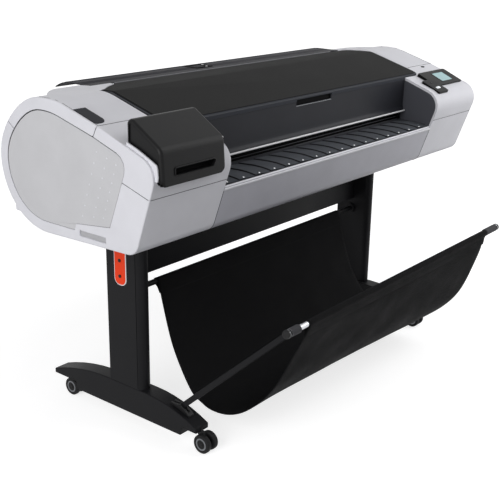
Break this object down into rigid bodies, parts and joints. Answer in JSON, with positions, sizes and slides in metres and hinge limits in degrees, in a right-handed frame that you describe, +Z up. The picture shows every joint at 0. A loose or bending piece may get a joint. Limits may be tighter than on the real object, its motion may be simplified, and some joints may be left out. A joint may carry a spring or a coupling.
{
  "type": "large format plotter",
  "caption": "Floor-standing large format inkjet plotter: long body on a wheeled post stand, with window lid, roll cover, ink cover, control panel and a fabric catch bin in front.",
  "frame": {"origin": "middle of the footprint, on the floor under the casters", "axes": "+X along the width to the user's right, -Y towards the user, +Z up"},
  "size_m": [1.77, 0.9726, 1.05],
  "materials": {
    "shell": "satin light grey moulding",
    "panel": "fine textured grey moulding",
    "fascia": "satin silver-grey moulding",
    "dark": "semi-gloss charcoal moulding",
    "matte": "matte charcoal moulding",
    "black": "satin black moulding",
    "stand": "black powder coat",
    "wheel": "black hard rubber",
    "steel": "plain sheet steel",
    "alloy": "plain aluminium",
    "rubber": "black rubber",
    "cloth": "black woven nylon",
    "screen": "pale blue-green display",
    "lit": "lit white key",
    "board": "green circuit board",
    "ink": "dark blue moulding"
  },
  "bodies": {
    "machine": {"left_end_rim": "shell", "right_end_rim": "shell", "left_upper_cover": "shell", "right_upper_cover": "shell", "left_lower_cover": "shell", "right_lower_cover": "shell", "rear_panel": "shell", "left_side_panel": "panel", "right_side_panel": "panel", "front_fascia": "fascia", "output_platen": "dark", "control_panel": "black", "feed_motor": "black", "carriage_motor": "black", "cartridge_rack": "black", "service_station": "black", "left_bin_clip": "black", "right_bin_clip": "black", "left_foot": "stand", "right_foot": "stand", "left_post": "stand", "right_post": "stand", "cross_beam": "stand", "back_bin_rod": "stand", "base_pan": "steel", "left_side_plate": "steel", "right_side_plate": "steel", "carriage_rail": "alloy", "power_supply": "alloy", "carriage_belt": "rubber", "bin_cloth_rear": "cloth", "display_screen": "screen", "main_board": "board", "ink_cartridges": "ink"},
    "lid": {"window_lid": "dark", "lid_top_panel": "matte"},
    "roll_cover": {"roll_cover": "dark"},
    "ink_cover": {"ink_cover": "black"},
    "carriage": {"carriage": "black"},
    "drive_pulley": {"drive_pulley": "steel"},
    "idler_pulley": {"idler_pulley": "steel"},
    "feed_roller": {"feed_roller": "rubber"},
    "pinch_roller": {"pinch_roller": "rubber"},
    "spindle": {"roll_spindle": "black"},
    "power_button": {"power_button": "lit"},
    "menu_button": {"menu_button": "black"},
    "bin_frame": {"left_bin_arm": "stand", "right_bin_arm": "stand", "front_bin_rod": "alloy", "bin_cloth_front": "cloth"},
    "left_front_swivel": {"left_front_caster_fork": "black"},
    "left_front_wheels": {"left_front_caster_wheels": "wheel"},
    "left_rear_swivel": {"left_rear_caster_fork": "black"},
    "left_rear_wheels": {"left_rear_caster_wheels": "wheel"},
    "right_front_swivel": {"right_front_caster_fork": "black"},
    "right_front_wheels": {"right_front_caster_wheels": "wheel"},
    "right_rear_swivel": {"right_rear_caster_fork": "black"},
    "right_rear_wheels": {"right_rear_caster_wheels": "wheel"}
  },
  "joints": [
    {"name": "lid_hinge", "type": "hinge", "parent": "machine", "child": "lid", "pos_m": [0, 0.24925, 1.0437], "axis": [-1, 0, 0], "range_deg": [0, 65]},
    {"name": "roll_cover_hinge", "type": "hinge", "parent": "machine", "child": "roll_cover", "pos_m": [0, 0.25525, 1.0455], "axis": [1, 0, 0], "range_deg": [0, 80]},
    {"name": "ink_cover_hinge", "type": "hinge", "parent": "machine", "child": "ink_cover", "pos_m": [0, -0.12475, 1.043], "axis": [-1, 0, 0], "range_deg": [0, 60]},
    {"name": "carriage_slide", "type": "slide", "parent": "machine", "child": "carriage", "axis": [1, 0, 0], "range_m": [-1.41, 0]},
    {"name": "drive_pulley_spin", "type": "hinge", "parent": "machine", "child": "drive_pulley", "pos_m": [0.81, 0.14725, 0.957], "axis": [0, 0, 1], "range_deg": [-6180, 0]},
    {"name": "idler_pulley_spin", "type": "hinge", "parent": "machine", "child": "idler_pulley", "pos_m": [-0.81, 0.14725, 0.957], "axis": [0, 0, 1], "range_deg": [-6180, 0]},
    {"name": "feed_roller_spin", "type": "hinge", "parent": "machine", "child": "feed_roller", "pos_m": [0, 0.09725, 0.845], "axis": [1, 0, 0], "continuous": true},
    {"name": "pinch_roller_spin", "type": "hinge", "parent": "machine", "child": "pinch_roller", "pos_m": [0, 0.09725, 0.8683], "axis": [1, 0, 0], "continuous": true},
    {"name": "spindle_spin", "type": "hinge", "parent": "machine", "child": "spindle", "pos_m": [0, 0.37225, 0.936], "axis": [1, 0, 0], "continuous": true},
    {"name": "power_button_press", "type": "slide", "parent": "machine", "child": "power_button", "axis": [0, 0.4065, -0.9136], "range_m": [0, 0.0012], "stiffness_N_per_m": 400},
    {"name": "menu_button_press", "type": "slide", "parent": "machine", "child": "menu_button", "axis": [0, 0.4065, -0.9136], "range_m": [0, 0.0012], "stiffness_N_per_m": 400},
    {"name": "bin_fold", "type": "hinge", "parent": "machine", "child": "bin_frame", "pos_m": [0, -0.08775, 0.119], "axis": [-1, 0, 0], "range_deg": [0, 40]},
    {"name": "left_front_swivel_turn", "type": "hinge", "parent": "machine", "child": "left_front_swivel", "pos_m": [-0.629, -0.15975, 0.06], "axis": [0, 0, 1], "continuous": true},
    {"name": "left_front_wheels_roll", "type": "hinge", "parent": "left_front_swivel", "child": "left_front_wheels", "pos_m": [-0.629, -0.17975, 0.03], "axis": [1, 0, 0], "continuous": true},
    {"name": "left_rear_swivel_turn", "type": "hinge", "parent": "machine", "child": "left_rear_swivel", "pos_m": [-0.629, 0.41925, 0.06], "axis": [0, 0, 1], "continuous": true},
    {"name": "left_rear_wheels_roll", "type": "hinge", "parent": "left_rear_swivel", "child": "left_rear_wheels", "pos_m": [-0.629, 0.39925, 0.03], "axis": [1, 0, 0], "continuous": true},
    {"name": "right_front_swivel_turn", "type": "hinge", "parent": "machine", "child": "right_front_swivel", "pos_m": [0.629, -0.15975, 0.06], "axis": [0, 0, 1], "continuous": true},
    {"name": "right_front_wheels_roll", "type": "hinge", "parent": "right_front_swivel", "child": "right_front_wheels", "pos_m": [0.629, -0.17975, 0.03], "axis": [1, 0, 0], "continuous": true},
    {"name": "right_rear_swivel_turn", "type": "hinge", "parent": "machine", "child": "right_rear_swivel", "pos_m": [0.629, 0.41925, 0.06], "axis": [0, 0, 1], "continuous": true},
    {"name": "right_rear_wheels_roll", "type": "hinge", "parent": "right_rear_swivel", "child": "right_rear_wheels", "pos_m": [0.629, 0.39925, 0.03], "axis": [1, 0, 0], "continuous": true}
  ],
  "couplings": [
    {"joint": "drive_pulley_spin", "follows": "carriage_slide", "rad_per_m": 76.336},
    {"joint": "idler_pulley_spin", "follows": "carriage_slide", "rad_per_m": 76.336},
    {"joint": "pinch_roller_spin", "follows": "feed_roller_spin", "ratio": -1.875}
  ]
}
